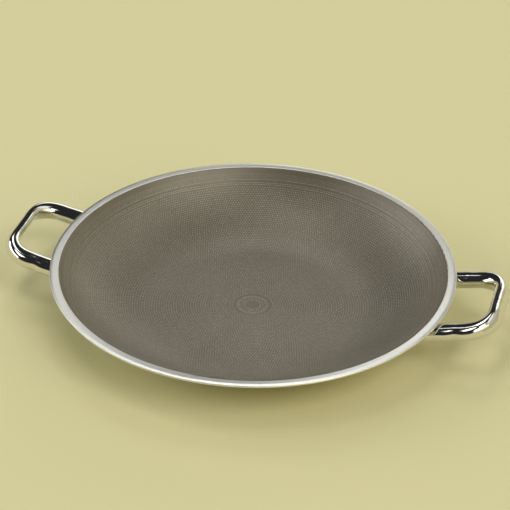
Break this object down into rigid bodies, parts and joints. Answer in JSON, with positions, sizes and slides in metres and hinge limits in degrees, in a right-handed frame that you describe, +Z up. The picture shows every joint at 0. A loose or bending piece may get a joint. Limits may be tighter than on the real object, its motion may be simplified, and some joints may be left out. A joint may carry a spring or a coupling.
{
  "type": "griddle pan",
  "caption": "Shallow round griddle pan of clad steel with a flat floor, a curved wall, a bright flat lip, a dark textured non-stick inside and loop handles on opposite sides.",
  "frame": {"origin": "centre of the base, on the surface that the pan stands on", "axes": "+Z up out of the pan's mouth, +X to the right handle, -Y to the front"},
  "size_m": [0.453, 0.36, 0.0523],
  "materials": {
    "coating": "taupe non-stick coating over a fine raised pattern, satin",
    "lip_steel": "satin, turned along the lip",
    "core_aluminium": "plain rolled",
    "outer_steel": "fine satin, turned in rings",
    "handle_steel": "mirror-polished stainless steel",
    "seat_steel": "plain pressed stainless steel"
  },
  "bodies": {
    "root": {"nonstick_coating": "coating", "inner_steel_layer": "lip_steel", "aluminium_core": "core_aluminium", "outer_steel_layer": "outer_steel", "right_handle": "handle_steel", "left_handle": "handle_steel", "right_front_seat": "seat_steel", "right_rear_seat": "seat_steel", "left_front_seat": "seat_steel", "left_rear_seat": "seat_steel"}
  },
  "joints": []
}
